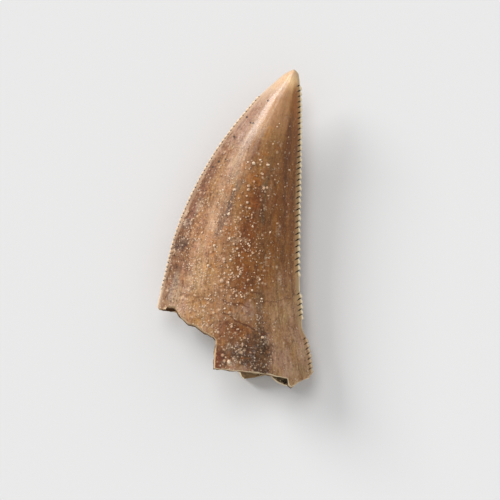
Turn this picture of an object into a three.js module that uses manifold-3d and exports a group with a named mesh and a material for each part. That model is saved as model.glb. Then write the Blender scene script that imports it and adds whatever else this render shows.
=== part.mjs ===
// Shed crown of a small meat-eating dinosaur's tooth, turned to stone, lying on its side.
// Millimetres, +Z up. The tip points along +Y and the rear cutting edge faces +X.
// The crown is one solid: a blade-like cone with saw-toothed edges, hollow at its broken base.
import * as THREE from 'three';
import { mergeVertices } from 'three/addons/utils/BufferGeometryUtils.js';
import Module from 'manifold-3d';

const wasm = await Module();
wasm.setup();

// ---- Driving dimensions ----

// Length of the crown: the tip, and the end of the unbroken base that the breaks take off.
const TIP_Y = 15.08;
const BASE_Y = -16.4;
const TIP_ROUNDING = 0.45;

// Each profile is a list of [y, value] from the base to the tip.
const FRONT_EDGE_X = [
  [-16.4, -8.25], [-10.5, -7.9], [-7.2, -7.33], [-3.9, -6.55], [-1.0, -5.83],
  [4.1, -3.74], [8.7, -0.94], [11.0, 0.9], [12.7, 2.4], [13.9, 3.75], [14.7, 4.7], [15.1, 5.3],
];
const REAR_EDGE_X = [
  [-16.4, 7.4], [-13.7, 7.33], [-12.3, 7.2], [-10.9, 6.92], [-10.2, 6.75], [-9.6, 6.5], [-8.0, 6.38],
  [-6.7, 6.3], [-5.9, 6.2], [-5.0, 6.17], [-4.3, 6.13], [-3.5, 6.1], [0, 6.12], [6.6, 6.24], [12, 6.24],
  [13.3, 6.2], [14.2, 6.12], [14.7, 6.03], [15.1, 5.85],
];
const FRONT_EDGE_Z = [[-16.4, 3.7], [-8, 3.7], [0, 3.5], [6, 3.5], [10, 3.8], [13, 4.35], [15.1, 4.9]];
const REAR_EDGE_Z = [[-16.4, 2.8], [-8, 2.8], [0, 2.9], [6, 3.2], [10, 3.75], [13, 4.35], [15.1, 4.9]];
const UPPER_FACE_Z = [[-16.4, 7.55], [-8, 7.2], [0, 6.75], [6, 6.35], [10, 6.05], [13, 5.85], [15.1, 5.5]];
const LOWER_FACE_Z = [
  [-16.4, 0.35], [-8, 0.06], [0, -0.12], [4, 0.25], [6, 0.85], [8, 1.7], [10, 2.6], [13, 3.8], [15.1, 4.6],
];

// Where the crest of each face lies between the front edge (0) and the rear edge (1), and how the
// face falls from it to either edge: a low power makes a sharp ridge, a low fullness a round edge.
const UPPER_CREST = [[-16.4, 0.46], [0, 0.44], [6, 0.44], [10, 0.48], [13, 0.53], [15.1, 0.55]];
const LOWER_CREST = 0.56;
const UPPER_FACE = { frontPower: 1.6, rearPower: 2, frontFullness: 0.82, rearFullness: 0.9 };
const LOWER_FACE = { frontPower: 2.5, rearPower: 2.5, frontFullness: 0.8, rearFullness: 0.9 };

// Pulp cavity: the wall of the upper face, of the lower face and inside the cutting edges, its
// closed upper end, and its lower end, which opens through the base.
const UPPER_WALL = 0.85;
const LOWER_WALL = 1.1;
const EDGE_WALL = 1.05;
const CAVITY_TOP_Y = 2.0;
const CAVITY_BOTTOM_Y = BASE_Y - 1;

// Broken base: [x, y] outlines across each wall, which meet at the height BREAK_Z. Each break
// takes off everything below its outline, as far up or down as its reach.
const BREAK_Z = 3.3;
const UPPER_BREAK = [
  [-9, -7.3], [-7.15, -7.7], [-6.75, -7.75], [-6.55, -7.45], [-5.75, -7.5], [-5.45, -8.0], [-5.2, -8.4],
  [-4.35, -9.0], [-3.75, -9.2], [-3.05, -9.7], [-2.05, -10.2], [-1.87, -10.45], [-1.88, -11.15],
  [-2.0, -12.4], [-2.0, -13.15], [0.2, -13.38], [2.77, -13.7], [4.87, -14.15], [5.0, -14.8],
  [5.25, -15.05], [5.95, -14.55], [6.9, -14.25], [7.25, -13.85], [9, -13.4],
];
const LOWER_BREAK = [
  [-9, -7.3], [-7.1, -7.75], [-6.6, -7.8], [-5.5, -7.95], [-3.75, -8.3], [-2.55, -9.25], [-1.2, -10.85],
  [0, -11.9], [0.17, -13.4], [0.6, -14.15], [0.86, -14.35], [1.75, -14.27], [3.15, -13.9],
  [3.53, -14.2], [4.04, -14.7], [5.15, -15.05], [5.95, -14.55], [6.9, -14.25], [7.25, -13.85], [9, -13.4],
];
const BREAK_REACH = 7;

// The surface that the tooth lies on, which has worn its belly flat.
const GROUND_WIDTH = 40;
const GROUND_LENGTH = 60;
const GROUND_DEPTH = 2;

// Serrations: each run goes from one y to another, with its spacing at either end, and the rear
// edge is worn smooth between its runs. A lobe's sizes are half sizes; it leans by its slant.
const REAR_SERRATIONS = {
  runs: [
    { from: -13.4, to: -10.4, pitch: [0.475, 0.5] },
    { from: -8.3, to: -5.9, pitch: [0.5, 0.52] },
    { from: -4.2, to: 13.45, pitch: [0.61, 0.49] },
  ],
  reach: 0.3, width: 0.28, slant: 28,
};
const FRONT_SERRATIONS = {
  runs: [{ from: -5.5, to: 12.4, pitch: [0.44, 0.46] }],
  reach: 0.24, width: 0.22, slant: 10,
};
const SERRATION_THICKNESS = 0.32;
const SERRATION_SINK = 0.13;

// Fineness of the faceted solid.
const CROWN_MESH = { sides: 28, rings: 40, crowding: 1.5 };
const CAVITY_MESH = { sides: 20, rings: 18, crowding: 1.6 };
const LOBE_SIDES = 6;
const LOBE_RINGS = 3;
const WELD_DISTANCE = 1e-5;

// ---- Shape of the crown ----

// A smooth curve through a profile's points.
function profile(points) {
  const interpolant = new THREE.CubicInterpolant(points.map(p => p[0]), points.map(p => p[1]), 1);
  return y => interpolant.evaluate(y)[0];
}

const frontX = profile(FRONT_EDGE_X);
const rearX = profile(REAR_EDGE_X);
const frontZ = profile(FRONT_EDGE_Z);
const rearZ = profile(REAR_EDGE_Z);
const upperZ = profile(UPPER_FACE_Z);
const lowerZ = profile(LOWER_FACE_Z);
const upperCrest = profile(UPPER_CREST);

// The crown's cross-section at height y, drawn in to a point over the last bit of the tip.
function crownSection(y) {
  const section = {
    front: frontX(y), rear: rearX(y), frontZ: frontZ(y), rearZ: rearZ(y),
    upper: upperZ(y), lower: lowerZ(y), upperCrest: upperCrest(y),
  };
  const below = Math.min((TIP_Y - y) / TIP_ROUNDING, 1);
  return shrink(section, Math.sqrt(1 - (1 - below) ** 2));
}

// The pulp cavity's cross-section: the crown's less its wall, closing in a dome at the top.
function cavitySection(y) {
  const crown = crownSection(y);
  const section = {
    ...crown,
    front: crown.front + EDGE_WALL, rear: crown.rear - EDGE_WALL,
    upper: crown.upper - UPPER_WALL, lower: crown.lower + LOWER_WALL,
  };
  const below = (CAVITY_TOP_Y - y) / (CAVITY_TOP_Y - BASE_Y);
  return shrink(section, Math.sqrt(1 - (1 - below) ** 3));
}

// Scales a section about its middle.
function shrink(section, factor) {
  const { lerp } = THREE.MathUtils;
  const middleX = (section.front + section.rear) / 2;
  const middleZ = (section.upper + section.lower) / 2;
  return {
    ...section,
    front: lerp(middleX, section.front, factor), rear: lerp(middleX, section.rear, factor),
    frontZ: lerp(middleZ, section.frontZ, factor), rearZ: lerp(middleZ, section.rearZ, factor),
    upper: lerp(middleZ, section.upper, factor), lower: lerp(middleZ, section.lower, factor),
  };
}

// A point on a section. The angle runs from the rear edge (0) over the upper face to the front
// edge (half a turn) and back under the lower face.
function sectionPoint(section, angle) {
  const { lerp } = THREE.MathUtils;
  const isUpper = Math.sin(angle) > 0;
  const isRear = Math.cos(angle) > 0;
  const face = isUpper ? UPPER_FACE : LOWER_FACE;
  const crest = isUpper ? section.upperCrest : LOWER_CREST;
  const offset = Math.abs(Math.cos(angle));
  const across = isRear ? lerp(crest, 1, offset) : lerp(crest, 0, offset);
  const fall = offset ** (isRear ? face.rearPower : face.frontPower);
  const height = Math.max(1 - fall, 0) ** (isRear ? face.rearFullness : face.frontFullness);
  const edgeZ = lerp(section.frontZ, section.rearZ, across);
  return [
    lerp(section.front, section.rear, across),
    lerp(edgeZ, isUpper ? section.upper : section.lower, height),
  ];
}

// A closed body from sections between two heights: a sphere whose rings take the sections' shape
// and whose lowest ring and pole become the flat lower end. Rings crowd towards the upper end.
function loft(sectionAt, topY, bottomY, { sides, rings, crowding }) {
  const geometry = new THREE.SphereGeometry(1, sides, rings);
  const position = geometry.attributes.position;
  for (let i = 0; i < position.count; i++) {
    const turn = Math.acos(THREE.MathUtils.clamp(position.getY(i), -1, 1)) / Math.PI;
    const ring = Math.min(turn * rings / (rings - 1), 1);
    const y = THREE.MathUtils.lerp(topY, bottomY, ring ** crowding);
    const section = sectionAt(y);
    const isPole = Math.abs(position.getY(i)) === 1;
    const angle = Math.atan2(position.getZ(i), position.getX(i));
    const [x, z] = isPole ? sectionMiddle(section) : sectionPoint(section, angle);
    position.setXYZ(i, x, y, z);
  }
  return solid(geometry);
}

function sectionMiddle(section) {
  return [(section.front + section.rear) / 2, (section.upper + section.lower) / 2];
}

// ---- Solids ----

function solid(geometry) {
  geometry.deleteAttribute('normal');
  geometry.deleteAttribute('uv');
  const merged = mergeVertices(geometry, WELD_DISTANCE);
  return new wasm.Manifold(new wasm.Mesh({
    numProp: 3,
    vertProperties: new Float32Array(merged.attributes.position.array),
    triVerts: new Uint32Array(merged.index.array),
  }));
}

// What a break takes off one wall: all that lies below its outline, upwards from a level.
function breakCutter(outline, fromZ) {
  const [firstX, lastX] = [outline[0][0], outline.at(-1)[0]];
  const corners = [...outline, [lastX, CAVITY_BOTTOM_Y], [firstX, CAVITY_BOTTOM_Y]];
  const shape = new THREE.Shape(corners.map(([x, y]) => new THREE.Vector2(x, y)));
  const geometry = new THREE.ExtrudeGeometry(shape, { depth: BREAK_REACH, bevelEnabled: false });
  geometry.translate(0, 0, fromZ);
  return solid(geometry);
}

function groundCutter() {
  const geometry = new THREE.BoxGeometry(GROUND_WIDTH, GROUND_LENGTH, GROUND_DEPTH);
  geometry.translate(0, 0, -GROUND_DEPTH / 2);
  return solid(geometry);
}

// The direction of an edge at y, as the angle from +Y towards +X.
function edgeHeading(edgeX, y) {
  const step = 0.1;
  return Math.atan2(edgeX(y + step) - edgeX(y - step), 2 * step);
}

// One row of serrations: blunt lobes set along an edge, leaning towards the tip.
// The side is 1 where the edge faces +X and -1 where it faces -X.
function serrations(edgeX, edgeZ, side, { runs, reach, width, slant }) {
  const lobes = [];
  for (const { from, to, pitch } of runs) {
    for (let y = from; y < to;) {
      const heading = edgeHeading(edgeX, y);
      const lobe = new THREE.SphereGeometry(1, LOBE_SIDES, LOBE_RINGS);
      lobe.scale(width, reach, SERRATION_THICKNESS);
      lobe.rotateZ(-heading - side * THREE.MathUtils.degToRad(90 - slant));
      lobe.translate(edgeX(y) - side * SERRATION_SINK, y, edgeZ(y));
      lobes.push(solid(lobe));
      y += THREE.MathUtils.mapLinear(y, from, to, ...pitch) * Math.cos(heading);
    }
  }
  return wasm.Manifold.union(lobes);
}

function crownSolid() {
  const blade = loft(crownSection, TIP_Y, BASE_Y, CROWN_MESH);
  const rearRow = serrations(rearX, rearZ, 1, REAR_SERRATIONS);
  const frontRow = serrations(frontX, frontZ, -1, FRONT_SERRATIONS);
  const cavity = loft(cavitySection, CAVITY_TOP_Y, CAVITY_BOTTOM_Y, CAVITY_MESH);
  return blade.add(rearRow).add(frontRow)
    .subtract(cavity)
    .subtract(breakCutter(UPPER_BREAK, BREAK_Z))
    .subtract(breakCutter(LOWER_BREAK, BREAK_Z - BREAK_REACH))
    .subtract(groundCutter());
}

// ---- The part ----

function crownMesh() {
  const { vertProperties, triVerts } = crownSolid().getMesh();
  const geometry = new THREE.BufferGeometry();
  geometry.setAttribute('position', new THREE.BufferAttribute(vertProperties, 3));
  geometry.setIndex(new THREE.BufferAttribute(triVerts, 1));
  geometry.computeVertexNormals();
  const enamel = new THREE.MeshStandardMaterial({ color: 0x9b7350, roughness: 0.45, metalness: 0 });
  const mesh = new THREE.Mesh(geometry, enamel);
  mesh.name = 'tooth_crown';
  return mesh;
}

const tooth = new THREE.Group();
tooth.add(crownMesh());

export default tooth;
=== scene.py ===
"""Shed crown of a small meat-eating dinosaur's tooth, turned to stone, lying on a pale table."""

import math
import random

import bmesh
import bpy
import numpy as np
from mathutils import Euler, Matrix, Vector, noise
from mathutils.bvhtree import BVHTree


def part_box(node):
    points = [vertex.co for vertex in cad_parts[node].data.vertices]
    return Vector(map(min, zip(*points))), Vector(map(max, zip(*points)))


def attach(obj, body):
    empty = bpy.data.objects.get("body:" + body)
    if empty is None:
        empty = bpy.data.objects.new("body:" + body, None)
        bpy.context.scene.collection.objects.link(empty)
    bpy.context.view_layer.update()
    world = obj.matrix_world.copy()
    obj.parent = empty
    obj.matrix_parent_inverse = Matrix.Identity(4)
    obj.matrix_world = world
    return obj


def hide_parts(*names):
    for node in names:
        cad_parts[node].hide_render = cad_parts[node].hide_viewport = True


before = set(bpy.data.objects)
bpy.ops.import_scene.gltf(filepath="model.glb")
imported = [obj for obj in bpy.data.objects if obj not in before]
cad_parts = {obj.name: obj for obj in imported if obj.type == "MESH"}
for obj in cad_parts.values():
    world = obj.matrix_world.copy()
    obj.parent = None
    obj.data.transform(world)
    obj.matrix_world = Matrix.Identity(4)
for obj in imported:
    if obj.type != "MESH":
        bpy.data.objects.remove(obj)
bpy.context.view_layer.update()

CAD_NODE = "tooth_crown"
MM = 0.001

# ---- Sizes, in millimetres. The tip points along +Y and the rear cutting edge faces +X. ----

_, highest_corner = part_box(CAD_NODE)
TIP_Y = highest_corner.y / MM
BASE_Y = -16.4
TIP_ROUNDING = 0.45

# Each profile is a list of (y, value) from the base to the tip.
FRONT_EDGE_X = [
    (-16.4, -8.25), (-10.5, -7.9), (-7.2, -7.33), (-3.9, -6.55), (-1.0, -5.83), (4.1, -3.74),
    (8.7, -0.94), (11.0, 0.9), (12.7, 2.4), (13.9, 3.75), (14.7, 4.7), (15.1, 5.3)]
REAR_EDGE_X = [
    (-16.4, 7.4), (-13.7, 7.33), (-12.3, 7.2), (-10.9, 6.92), (-10.2, 6.75), (-9.6, 6.5), (-8.0, 6.38),
    (-6.7, 6.3), (-5.9, 6.2), (-5.0, 6.17), (-4.3, 6.13), (-3.5, 6.1), (0, 6.12), (6.6, 6.24), (12.0, 6.24),
    (13.3, 6.2), (14.2, 6.12), (14.7, 6.03), (15.1, 5.85)]
FRONT_EDGE_Z = [(-16.4, 3.7), (-8, 3.7), (0, 3.5), (6, 3.5), (10, 3.8), (13, 4.35), (15.1, 4.9)]
REAR_EDGE_Z = [(-16.4, 2.8), (-8, 2.8), (0, 2.9), (6, 3.2), (10, 3.75), (13, 4.35), (15.1, 4.9)]
UPPER_FACE_Z = [(-16.4, 7.55), (-8, 7.2), (0, 6.75), (6, 6.35), (10, 6.05), (13, 5.85), (15.1, 5.5)]
LOWER_FACE_Z = [
    (-16.4, 0.35), (-8, 0.06), (0, -0.12), (4, 0.25), (6, 0.85), (8, 1.7), (10, 2.6), (13, 3.8), (15.1, 4.6)]

# Where a face's crest lies between the front edge (0) and the rear edge (1), and how the face
# falls from it to either edge: a low power makes a sharp ridge, and a low fullness a round edge.
UPPER_CREST = [(-16.4, 0.46), (0, 0.45), (6, 0.47), (10, 0.51), (13, 0.55), (15.1, 0.56)]
LOWER_CREST = 0.56
UPPER_FACE = dict(front_power=1.6, rear_power=2.0, front_fullness=0.82, rear_fullness=0.9)
LOWER_FACE = dict(front_power=2.5, rear_power=2.5, front_fullness=0.8, rear_fullness=0.9)

NEAR_WALL, FAR_WALL = 0.85, 1.1
EDGE_WALL = 1.05
CAVITY_TOP_Y = 2.0

# The broken base: (x, y) outlines across each wall, which meet at the height BREAK_Z.
BREAK_Z = 3.3
UPPER_BREAK = [
    (-9, -7.3), (-7.15, -7.7), (-6.75, -7.75), (-6.55, -7.45), (-5.75, -7.5), (-5.45, -8.0), (-5.2, -8.4),
    (-4.35, -9.0), (-3.75, -9.2), (-3.05, -9.7), (-2.05, -10.2), (-1.87, -10.45), (-1.88, -11.15),
    (-2.0, -12.4), (-2.0, -13.15), (0.2, -13.38), (2.77, -13.7), (4.87, -14.15), (5.0, -14.8),
    (5.25, -15.05), (5.95, -14.55), (6.9, -14.25), (7.25, -13.85), (9, -13.4)]
LOWER_BREAK = [
    (-9, -7.3), (-7.1, -7.75), (-6.6, -7.8), (-5.5, -7.95), (-3.75, -8.3), (-2.55, -9.25), (-1.2, -10.85),
    (0, -11.9), (0.17, -13.4), (0.6, -14.15), (0.86, -14.35), (1.75, -14.27), (3.15, -13.9),
    (3.53, -14.2), (4.04, -14.7), (5.15, -15.05), (5.95, -14.55), (6.9, -14.25), (7.25, -13.85), (9, -13.4)]

# A break's face leans this far over the wall's thickness, and its roughness is noise of this height
# and scale. Its cutter is sliced into layers, so that it can be roughened.
UPPER_LEAN, LOWER_LEAN = 0.2, 0.14
BREAK_JAG, BREAK_JAG_SCALE = 0.1, 1.5
BREAK_LAYER = 0.25
CUTTER_FLOOR_Z, CUTTER_ROOF_Z = -2, 10
CUTTER_LAP = 0.02
PAST_BASE_Y = BASE_Y - 1

# Serrations: runs of (from y, to y, spacing at either end), with worn stretches between them. Reach
# and width are a lobe's half sizes; it leans towards the tip by its slant. Slit holds the half
# length and half width of the gap between two lobes, and how far inside the edge its middle lies.
REAR_ROW = dict(runs=[(-13.4, -10.4, 0.475, 0.5), (-8.3, -5.9, 0.5, 0.52), (-4.2, 13.45, 0.61, 0.49)],
                reach=0.25, width=0.37, slant=28, slit=(0.2, 0.065, 0.15))
FRONT_ROW = dict(runs=[(-5.5, 12.4, 0.44, 0.46)], reach=0.2, width=0.27, slant=10, slit=(0.08, 0.045, 0.06))
LOBE_THICKNESS = 0.3
LOBE_SINK = 0.13
LOBE_SQUARENESS = 0.7
LOBE_SEED = 7
# Chance makes a lobe's reach and width this much smaller or larger.
LOBE_REACHES, LOBE_WIDTHS = (0.88, 1.06), (0.96, 1.04)
SLIT_DEPTH = 0.26
# Above this height the slits get shorter, by this share over this distance.
SHORT_SLITS_Y, SLIT_SHORTENING, SLIT_SHORTENING_REACH = 6, 0.45, 7

# Relief of the enamel and of the cavity's wall: how often it comes along each axis, and its height.
SWELLS = ((0.35, 0.22, 0.35), 0.07)
FLUTES = ((11, 0.1, 0.2), 0.035)
FINE_GRAIN = ((1.6, 1.1, 1.6), 0.015)
CAVITY_SWELLS = ((0.9, 0.6, 0.9), 0.12)
CAVITY_GRAIN = ((2.5, 2, 2.5), 0.04)
# Over this distance below the smooth tip the enamel's relief fades to this share of its height.
SMOOTH_TIP_Y, SMOOTHING_REACH, TIP_RELIEF = 14, 8, 0.15

# Each loft starts as a ball of this radius, in metres.
BALL_RADIUS = 1000
SHARP_ANGLE = 38


# ---- Shape of the crown ----

class Profile:
    """A smooth curve through (y, value) points, for one y or an array of them."""

    def __init__(self, points):
        self.y, self.value = np.array(points, float).T
        self.slope = np.gradient(self.value, self.y)

    def __call__(self, y):
        i = np.clip(np.searchsorted(self.y, y) - 1, 0, len(self.y) - 2)
        gap = self.y[i + 1] - self.y[i]
        t = (y - self.y[i]) / gap
        ease = t * t * (3 - 2 * t)
        straight = self.value[i] * (1 - ease) + self.value[i + 1] * ease
        bow = t * (1 - t) * gap * ((1 - t) * self.slope[i] - t * self.slope[i + 1])
        return straight + bow


front_x, rear_x = Profile(FRONT_EDGE_X), Profile(REAR_EDGE_X)
front_z, rear_z = Profile(FRONT_EDGE_Z), Profile(REAR_EDGE_Z)
upper_z, lower_z = Profile(UPPER_FACE_Z), Profile(LOWER_FACE_Z)
upper_crest = Profile(UPPER_CREST)


def lerp(a, b, t):
    return a + (b - a) * t


def shrink(section, factor):
    """Scales a section about its middle."""
    middle_x = (section["front"] + section["rear"]) / 2
    middle_z = (section["upper"] + section["lower"]) / 2
    scaled = dict(section)
    for name in ("front", "rear"):
        scaled[name] = lerp(middle_x, section[name], factor)
    for name in ("front_z", "rear_z", "upper", "lower"):
        scaled[name] = lerp(middle_z, section[name], factor)
    return scaled


def crown_section(y):
    """The crown's cross-section at height y, drawn in to a point over the last bit of the tip."""
    section = dict(front=front_x(y), rear=rear_x(y), front_z=front_z(y), rear_z=rear_z(y),
                   upper=upper_z(y), lower=lower_z(y), upper_crest=upper_crest(y), lower_crest=LOWER_CREST)
    below = np.clip((TIP_Y - y) / TIP_ROUNDING, 0, 1)
    return shrink(section, np.sqrt(1 - (1 - below) ** 2))


def cavity_section(y):
    """The pulp cavity's cross-section: the crown's less its wall, closing in a dome at the top."""
    section = crown_section(y)
    section["front"] += EDGE_WALL
    section["rear"] -= EDGE_WALL
    section["upper"] -= NEAR_WALL
    section["lower"] += FAR_WALL
    below = np.clip((CAVITY_TOP_Y - y) / (CAVITY_TOP_Y - BASE_Y), 0, 1)
    return shrink(section, np.sqrt(1 - (1 - below) ** 3))


def face_height(section, across, side, face):
    """Height of one face at a fraction across it, from the front edge (0) to the rear (1)."""
    crest_z, crest = section[side], section[side + "_crest"]
    to_rear = across > crest
    reach = np.where(to_rear, 1 - crest, crest)
    offset = np.clip(np.abs(across - crest) / reach, 0, 1)
    power = np.where(to_rear, face["rear_power"], face["front_power"])
    fullness = np.where(to_rear, face["rear_fullness"], face["front_fullness"])
    edge_z = lerp(section["front_z"], section["rear_z"], across)
    return edge_z + (crest_z - edge_z) * (1 - offset ** power) ** fullness


def faces_at(x, y):
    """Fraction across the crown, and the heights of its upper and lower face, at (x, y)."""
    section = crown_section(y)
    width = np.maximum(section["rear"] - section["front"], 1e-3)
    across = np.clip((x - section["front"]) / width, 0, 1)
    upper = face_height(section, across, "upper", UPPER_FACE)
    lower = face_height(section, across, "lower", LOWER_FACE)
    return across, upper, lower


# ---- Making meshes ----

def coordinates(mesh):
    """A mesh's vertex positions, in millimetres."""
    flat = np.empty(len(mesh.vertices) * 3)
    mesh.vertices.foreach_get("co", flat)
    return flat.reshape(-1, 3) / MM


def move_vertices(mesh, positions):
    mesh.vertices.foreach_set("co", (positions * MM).ravel())
    mesh.update()


def new_object(name, mesh, materials):
    piece = bpy.data.objects.new(name, mesh)
    bpy.context.scene.collection.objects.link(piece)
    for material in materials:
        mesh.materials.append(material)
    return piece


def finish_mesh(bm, name):
    bmesh.ops.recalc_face_normals(bm, faces=bm.faces)
    mesh = bpy.data.meshes.new(name)
    bm.to_mesh(mesh)
    bm.free()
    return mesh


def loft(name, section_at, top, bottom, sides, rings, crowding):
    """A sphere whose rings take the sections' shape; its last ring and pole are the flat end."""
    bm = bmesh.new()
    bmesh.ops.create_uvsphere(bm, u_segments=sides, v_segments=rings, radius=BALL_RADIUS)
    mesh = finish_mesh(bm, name)
    ball = coordinates(mesh) * MM / BALL_RADIUS
    turn = np.arccos(np.clip(ball[:, 2], -1, 1)) / math.pi
    ring = np.minimum(turn * rings / (rings - 1), 1)
    y = lerp(top, bottom, ring ** crowding)
    section = section_at(y)
    angle = np.arctan2(-ball[:, 1], ball[:, 0])
    is_upper = np.sin(angle) > 0
    offset = np.cos(angle)
    crest = np.where(is_upper, section["upper_crest"], section["lower_crest"])
    across = np.where(offset > 0, crest + (1 - crest) * offset, crest * (1 + offset))
    upper = face_height(section, across, "upper", UPPER_FACE)
    lower = face_height(section, across, "lower", LOWER_FACE)
    x = lerp(section["front"], section["rear"], across)
    z = np.where(is_upper, upper, lower)
    quarter_ring = 0.25 / rings
    pole = (turn < quarter_ring) | (turn > 1 - quarter_ring)
    x = np.where(pole, (section["front"] + section["rear"]) / 2, x)
    z = np.where(pole, (section["upper"] + section["lower"]) / 2, z)
    move_vertices(mesh, np.stack([x, y, z], axis=1))
    return mesh


def push_out(mesh, steps):
    """Moves each vertex along its normal by its own step, in millimetres."""
    normals = np.empty(len(steps) * 3)
    mesh.vertices.foreach_get("normal", normals)
    move_vertices(mesh, coordinates(mesh) + normals.reshape(-1, 3) * steps[:, None])


def ripple(x, y, z, relief):
    """Smooth noise at each point, with its own scale along each axis."""
    scale, height = relief
    points = np.stack([x * scale[0], y * scale[1], z * scale[2]], axis=1)
    return np.array([noise.noise(point) for point in points]) * height


# ---- Serrations ----

def serration_places(row):
    """The heights of a row's lobes, and of the slits between them."""
    lobes, slits = [], []
    for start, end, first_gap, last_gap in row["runs"]:
        y = start
        while y < end:
            lobes.append(y)
            heading = edge_heading(row["edge_x"], y)
            step = lerp(first_gap, last_gap, (y - start) / (end - start)) * math.cos(heading)
            slits.append(y + step / 2)
            y += step
    return np.array(lobes), np.array(slits)


def edge_heading(edge_x, y):
    """How far an edge leans from +Y towards +X at height y, in radians."""
    return math.atan2(edge_x(y + 0.1) - edge_x(y - 0.1), 0.2)


REAR_ROW.update(edge_x=rear_x, edge_z=rear_z, side=1)
FRONT_ROW.update(edge_x=front_x, edge_z=front_z, side=-1)
for row in (REAR_ROW, FRONT_ROW):
    row["lobes"], row["slits"] = serration_places(row)


def slit_numbers(x, y, row):
    """Counts a row's slits along the edge, with whole numbers on them, and says where there are any."""
    inside = row["side"] * (row["edge_x"](y) - x)
    level = y + inside * math.tan(math.radians(row["slant"]))
    gaps = np.diff(row["slits"])
    spacing = np.median(gaps)
    numbers = np.concatenate([[-1, 0], np.cumsum(np.round(gaps / spacing))])
    numbers = np.append(numbers, numbers[-1] + 1)
    places = np.concatenate([[row["slits"][0] - spacing], row["slits"], [row["slits"][-1] + spacing]])
    away = np.abs(level[:, None] - row["slits"]).min(axis=1)
    reach, fade = 0.7 * spacing, 0.1
    return np.interp(level, places, numbers), np.clip((reach - away) / fade, 0, 1)


def outward(row, y):
    """The turn, about Z, of something that points out of the row at height y."""
    return Matrix.Rotation(
        -edge_heading(row["edge_x"], y) - row["side"] * math.radians(90 - row["slant"]), 4, "Z")


def row_matrix(row, y, inside, lift, size):
    """Sets a unit shape at height y of a row, this far inside the edge and above it."""
    centre = Vector((row["edge_x"](y) - row["side"] * inside, y, row["edge_z"](y) + lift))
    return Matrix.Scale(MM, 4) @ Matrix.Translation(centre) @ outward(row, y) @ Matrix.Diagonal((*size, 1))


def serration_mesh(name, row):
    """A row of blunt lobes, each a ball squared off towards a box."""
    bm = bmesh.new()
    rng = random.Random(row["side"] + LOBE_SEED)
    for y in row["lobes"]:
        reach = row["reach"] * rng.uniform(*LOBE_REACHES)
        width = row["width"] * rng.uniform(*LOBE_WIDTHS)
        matrix = row_matrix(row, y, LOBE_SINK, 0, (width, reach, LOBE_THICKNESS))
        made = bmesh.ops.create_icosphere(bm, subdivisions=2, radius=1)
        for vert in made["verts"]:
            squared = Vector([math.copysign(abs(value) ** LOBE_SQUARENESS, value) for value in vert.co])
            vert.co = matrix @ squared
    return finish_mesh(bm, name)


def slit_cutter(name, row):
    """The pits between a row's lobes, in both faces; they get shorter towards the tip."""
    bm = bmesh.new()
    half_length, half_width, inside = row["slit"]
    for y in row["slits"]:
        near_tip = min(max((y - SHORT_SLITS_Y) / SLIT_SHORTENING_REACH, 0), 1)
        size = 1 - SLIT_SHORTENING * near_tip
        drop = inside * math.tan(math.radians(row["slant"]))
        for side in (1, -1):
            matrix = row_matrix(row, y - drop, inside, side * LOBE_THICKNESS,
                                (half_width, half_length * size, SLIT_DEPTH))
            bmesh.ops.create_icosphere(bm, subdivisions=2, radius=1, matrix=matrix)
    return finish_mesh(bm, name)


# ---- The crown ----

def enamel_relief(mesh):
    """Swells, growth flutes and grain of the enamel, which fade out on the smooth tip."""
    x, y, z = coordinates(mesh).T
    across = faces_at(x, y)[0]
    relief = ripple(x, y, z, SWELLS) + ripple(across, y, z, FLUTES) + ripple(x, y, z, FINE_GRAIN)
    return relief * np.clip((SMOOTH_TIP_Y - y) / SMOOTHING_REACH, TIP_RELIEF, 1)


def cavity_relief(mesh):
    x, y, z = coordinates(mesh).T
    return ripple(x, y, z, CAVITY_SWELLS) + ripple(x, y, z, CAVITY_GRAIN)


def jag(at):
    return noise.fractal(at, 1, 2, 4) * BREAK_JAG


def break_cutter(name, outline, low, high, wall, slope):
    """What a break takes off one wall, with a rough face that leans away from its outline."""
    bm = bmesh.new()
    corners = outline + [(outline[-1][0], PAST_BASE_Y), (outline[0][0], PAST_BASE_Y)]
    ring = [bm.verts.new((x * MM, y * MM, low * MM)) for x, y in corners]
    bm.faces.new(ring)
    bmesh.ops.subdivide_edges(bm, edges=bm.edges, cuts=5)
    made = bmesh.ops.extrude_face_region(bm, geom=bm.faces[:])
    moved = [item for item in made["geom"] if isinstance(item, bmesh.types.BMVert)]
    bmesh.ops.translate(bm, verts=moved, vec=(0, 0, (high - low) * MM))
    for level in np.arange(low + BREAK_LAYER, high, BREAK_LAYER):
        everything = bm.verts[:] + bm.edges[:] + bm.faces[:]
        bmesh.ops.bisect_plane(bm, geom=everything, plane_co=(0, 0, level * MM), plane_no=(0, 0, 1))
    for vert in bm.verts:
        at = vert.co / MM
        across, upper, lower = faces_at(np.array([at.x]), np.array([at.y]))
        wall_floor = float(lower[0] if low < 0 else upper[0] - wall)
        lean = slope * min(max((at.z - wall_floor) / wall, 0), 1)
        vert.co.x += (lean + jag(at * BREAK_JAG_SCALE + Vector((40, 0, 0)))) * MM
        vert.co.y += (lean + jag(at * BREAK_JAG_SCALE)) * MM
    bmesh.ops.triangulate(bm, faces=bm.faces)
    return finish_mesh(bm, name)


def combine(piece, helper, operation):
    modifier = piece.modifiers.new(helper.name, "BOOLEAN")
    modifier.object = helper
    modifier.operation = operation
    modifier.solver = "MANIFOLD"


def settle(piece):
    """Replaces a piece's mesh by what its modifiers make of it."""
    graph = bpy.context.evaluated_depsgraph_get()
    mesh = bpy.data.meshes.new_from_object(piece.evaluated_get(graph))
    piece.modifiers.clear()
    piece.data = mesh
    return mesh


def set_inside(mesh):
    """Gives every face of a cutter the second material, that of the broken and inner surfaces."""
    mesh.polygons.foreach_set("material_index", [1] * len(mesh.polygons))


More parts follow.
